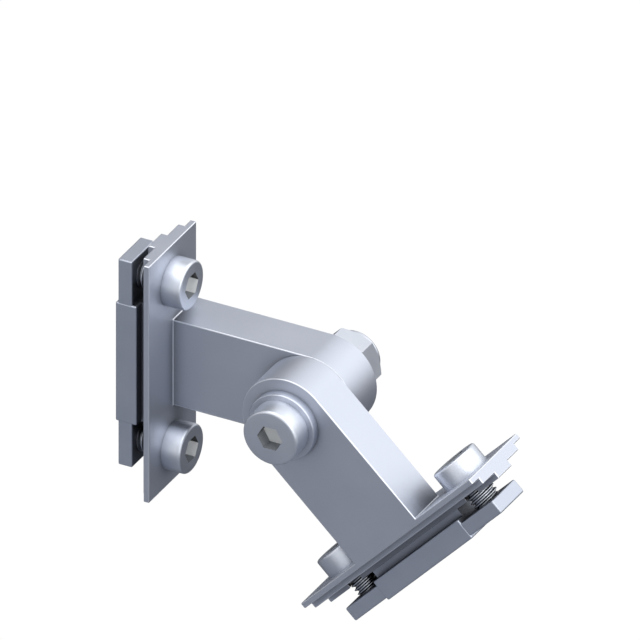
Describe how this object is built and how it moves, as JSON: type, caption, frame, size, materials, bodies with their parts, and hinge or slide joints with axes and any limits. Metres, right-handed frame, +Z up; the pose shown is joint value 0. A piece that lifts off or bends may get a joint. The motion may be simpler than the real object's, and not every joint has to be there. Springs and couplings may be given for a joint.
{
  "type": "clamp hinge",
  "caption": "Clamp hinge for slotted profiles: stepped mounting plates whose arms turn on a shared screw, each held by cap screws and a nut bar that hangs in the slot.",
  "frame": {"origin": "middle of the fixed half's seat: on the back face of its flange, on the middle plane of both halves and halfway along the plate", "axes": "+X from the fixed seat to the pivot, +Y along the pivot axis from the screw's head to the lock nut, +Z up along the fixed half's slot"},
  "size_m": [0.0709, 0.0311, 0.0593],
  "materials": {
    "bracket": "satin, die-cast and tumbled",
    "nut_bar": "zinc plated",
    "fastener": "zinc plated",
    "lock_ring": "matt"
  },
  "bodies": {
    "fixed_half": {"fixed_bracket": "bracket", "fixed_nut_bar": "nut_bar", "fixed_screw_upper": "fastener", "fixed_screw_lower": "fastener", "pivot_screw": "fastener", "head_washer": "fastener", "nut_washer": "fastener", "lock_nut": "fastener", "lock_ring": "lock_ring"},
    "moving_half": {"moving_bracket": "bracket", "moving_nut_bar": "nut_bar", "moving_screw_upper": "fastener", "moving_screw_lower": "fastener"}
  },
  "joints": [
    {"name": "pivot", "type": "hinge", "parent": "fixed_half", "child": "moving_half", "pos_m": [0.0262, 0, 0], "axis": [0, 1, 0], "range_deg": [-133.7, 46.3]}
  ]
}
